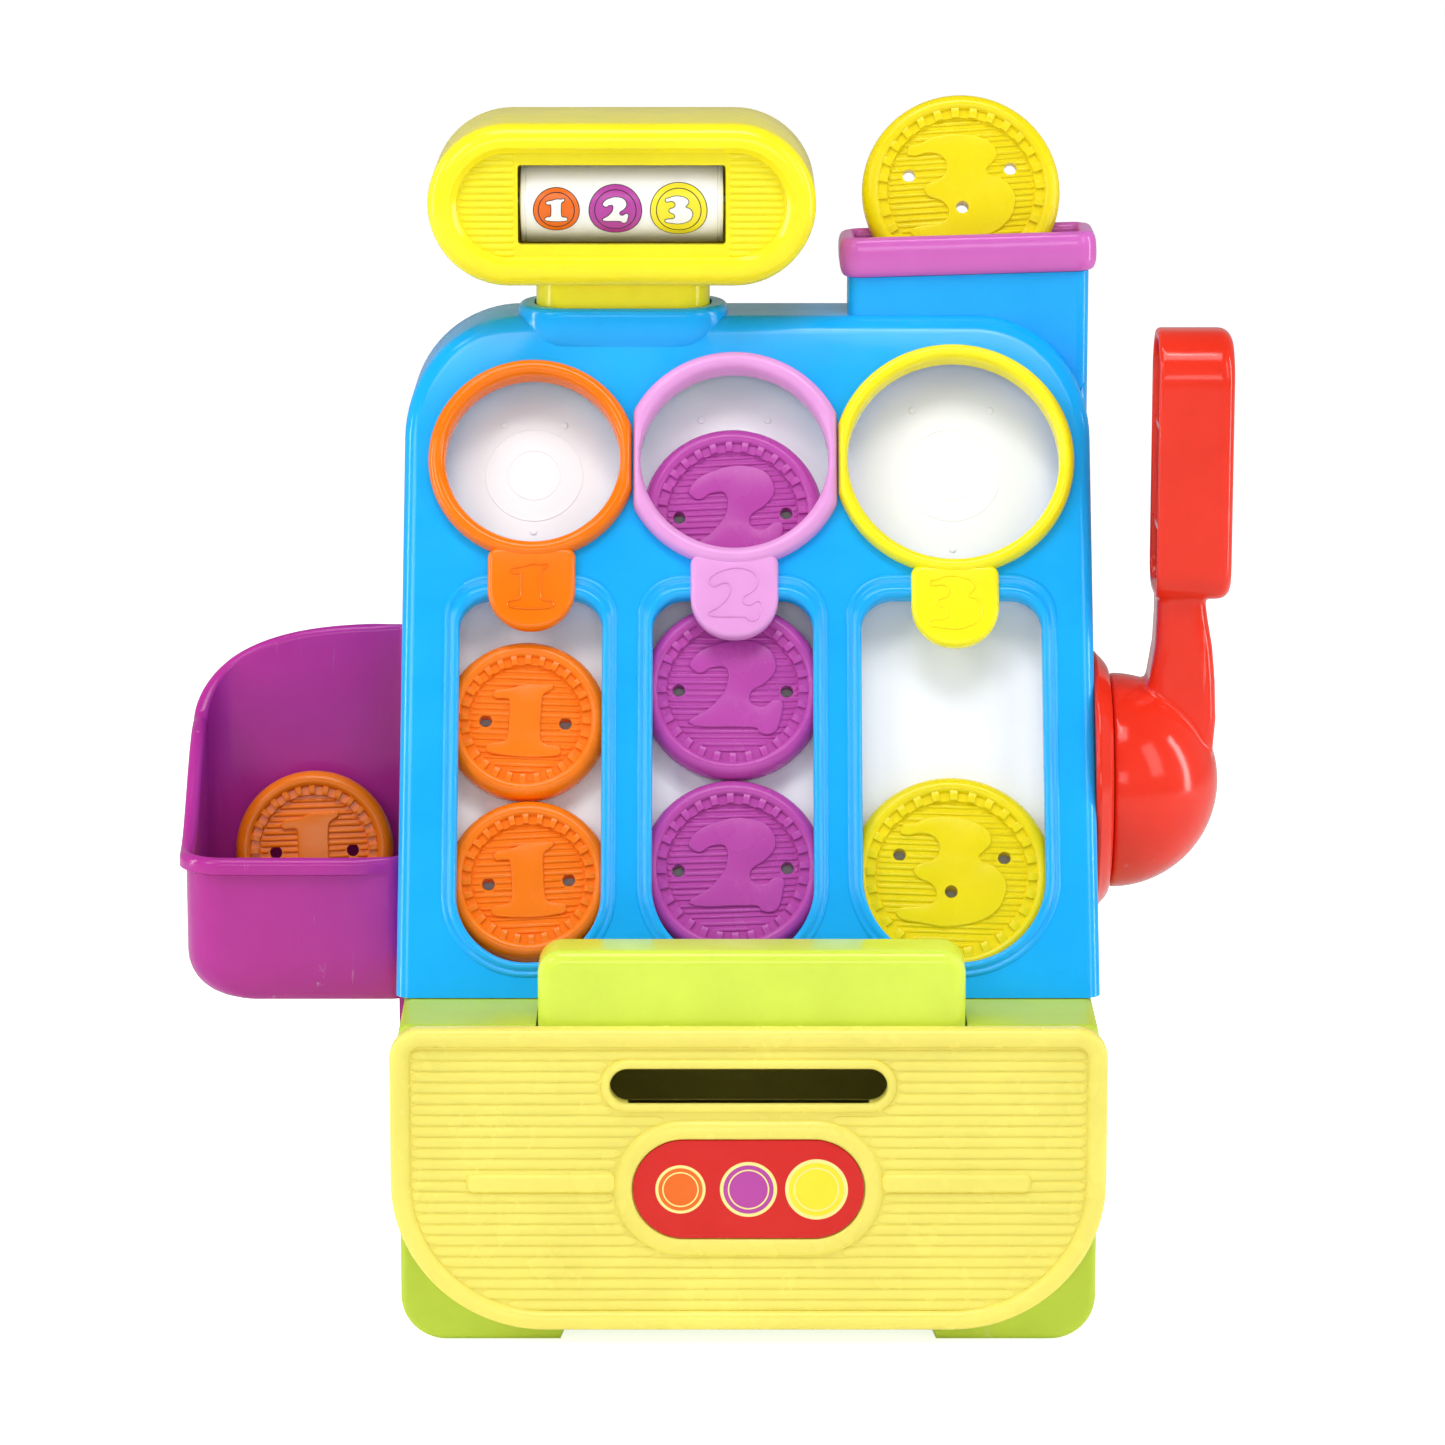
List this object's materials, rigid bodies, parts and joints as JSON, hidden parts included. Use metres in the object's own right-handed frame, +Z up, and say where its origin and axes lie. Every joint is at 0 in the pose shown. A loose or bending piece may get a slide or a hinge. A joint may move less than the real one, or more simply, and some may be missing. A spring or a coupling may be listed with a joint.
{
  "type": "toy cash register",
  "caption": "Toddler cash register with a sloped coin-sorting front, coin chute and crank, side return tray, number drum, press bar and sliding drawer.",
  "frame": {"origin": "middle of the footprint of the whole toy, on the table", "axes": "+Z up, the coin front, press bar and drawer face -Y, the crank is at +X and the return tray at -X"},
  "size_m": [0.3134, 0.176, 0.3426],
  "materials": {
    "lime_base": "moulded, satin",
    "lime_button": "moulded, glossy",
    "blue_body": "moulded, glossy",
    "white_plate": "moulded, glossy",
    "orange_ring": "moulded, glossy",
    "pink_ring": "moulded, glossy",
    "yellow_ring": "moulded, glossy",
    "pink_rim": "moulded, glossy",
    "purple_tray": "moulded, satin",
    "yellow_head": "moulded, glossy",
    "white_drum": "printed sleeve, glossy",
    "red_crank": "moulded, glossy",
    "pale_drawer": "moulded, satin",
    "badge": "printed sticker",
    "steel": "plain wire and rod",
    "brass": "polished",
    "orange_coin": "moulded, satin",
    "purple_coin": "moulded, satin",
    "yellow_coin": "moulded, satin"
  },
  "bodies": {
    "register": {"base_housing": "lime_base", "front_shell": "blue_body", "rear_shell": "blue_body", "channel_plate": "white_plate", "coin_ramp": "white_plate", "bell_bracket": "white_plate", "ring_bezel_1": "orange_ring", "ring_bezel_2": "pink_ring", "ring_bezel_3": "yellow_ring", "chute_rim": "pink_rim", "coin_tray": "purple_tray", "head_front_shell": "yellow_head", "head_rear_shell": "yellow_head", "crank_flange": "red_crank", "display_axle": "steel", "trap_pin": "steel", "gate_pin": "steel", "hammer_pin": "steel", "bell_post": "steel", "crank_spring": "steel", "button_spring_l": "steel", "button_spring_r": "steel", "base_screw_1": "steel", "shell_screw_1": "steel", "base_screw_2": "steel", "shell_screw_2": "steel", "base_screw_3": "steel", "shell_screw_3": "steel", "base_screw_4": "steel", "shell_screw_4": "steel", "bell_dome": "brass"},
    "drum": {"display_drum": "white_drum"},
    "crank": {"crank_handle": "red_crank", "crank_shaft": "white_plate", "crank_cam": "white_plate"},
    "flap": {"trap_flap": "white_plate"},
    "drawer": {"drawer_front": "pale_drawer", "drawer_box": "pale_drawer", "drawer_badge": "badge"},
    "button": {"open_button": "lime_button"},
    "gate": {"coin_gate": "white_plate"},
    "hammer": {"bell_hammer": "white_plate"},
    "coin_1_a": {"coin_1_a": "orange_coin"},
    "coin_1_b": {"coin_1_b": "orange_coin"},
    "coin_1_tray": {"coin_1_tray": "orange_coin"},
    "coin_2_a": {"coin_2_a": "purple_coin"},
    "coin_2_b": {"coin_2_b": "purple_coin"},
    "coin_2_c": {"coin_2_c": "purple_coin"},
    "coin_3_a": {"coin_3_a": "yellow_coin"},
    "coin_3_chute": {"coin_3_chute": "yellow_coin"}
  },
  "joints": [
    {"name": "drum_spin", "type": "hinge", "parent": "register", "child": "drum", "pos_m": [-0.0245, 0.0549, 0.31435], "axis": [1, 0, 0], "continuous": true},
    {"name": "crank_turn", "type": "hinge", "parent": "register", "child": "crank", "pos_m": [0.0815, 0.017, 0.1441], "axis": [1, 0, 0], "range_deg": [0, 80], "stiffness_Nm_per_rad": 0.09, "springref_deg": -20.05},
    {"name": "trap_swing", "type": "hinge", "parent": "register", "child": "flap", "pos_m": [0.0434, 0.0722, 0.2812], "axis": [1, 0, 0], "range_deg": [0, 75]},
    {"name": "drawer_slide", "type": "slide", "parent": "register", "child": "drawer", "axis": [0, -1, 0], "range_m": [0, 0.09]},
    {"name": "button_press", "type": "slide", "parent": "register", "child": "button", "axis": [0, 0, -1], "range_m": [0, 0.006], "stiffness_N_per_m": 260, "springref_m": -0.005, "deforming": ["button_spring_l", "button_spring_r"]},
    {"name": "gate_swing", "type": "hinge", "parent": "register", "child": "gate", "pos_m": [0.013, -0.03827, 0.09353], "axis": [1, 0, 0], "range_deg": [0, 60]},
    {"name": "hammer_swing", "type": "hinge", "parent": "register", "child": "hammer", "pos_m": [0.0115, 0.04, 0.106], "axis": [0, -1, 0], "range_deg": [0, 13]},
    {"name": "coin_1_a_lift", "type": "slide", "parent": "register", "child": "coin_1_a", "axis": [0, 0.4817, 0.8763], "range_m": [0, 0.03]},
    {"name": "coin_1_b_lift", "type": "slide", "parent": "coin_1_a", "child": "coin_1_b", "axis": [0, 0.4817, 0.8763], "range_m": [0, 0.05]},
    {"name": "coin_2_a_lift", "type": "slide", "parent": "register", "child": "coin_2_a", "axis": [0, 0.4817, 0.8763], "range_m": [0, 0.005]},
    {"name": "coin_2_b_lift", "type": "slide", "parent": "coin_2_a", "child": "coin_2_b", "axis": [0, 0.4817, 0.8763], "range_m": [0, 0.005]},
    {"name": "coin_2_c_lift", "type": "slide", "parent": "coin_2_b", "child": "coin_2_c", "axis": [0, 0.4817, 0.8763], "range_m": [0, 0.005]},
    {"name": "coin_3_a_lift", "type": "slide", "parent": "register", "child": "coin_3_a", "axis": [0, 0.4817, 0.8763], "range_m": [0, 0.12]},
    {"name": "coin_3_chute_lift", "type": "slide", "parent": "register", "child": "coin_3_chute", "axis": [0, 0.3518, 0.9361], "range_m": [0, 0.05]},
    {"name": "coin_1_tray_lift", "type": "slide", "parent": "register", "child": "coin_1_tray", "axis": [0, 0, 1], "range_m": [0, 0.07]}
  ],
  "couplings": [
    {"joint": "trap_swing", "follows": "crank_turn", "ratio": 0.9},
    {"joint": "hammer_swing", "follows": "crank_turn", "ratio": 0.15},
    {"joint": "gate_swing", "follows": "button_press", "rad_per_m": 170}
  ]
}
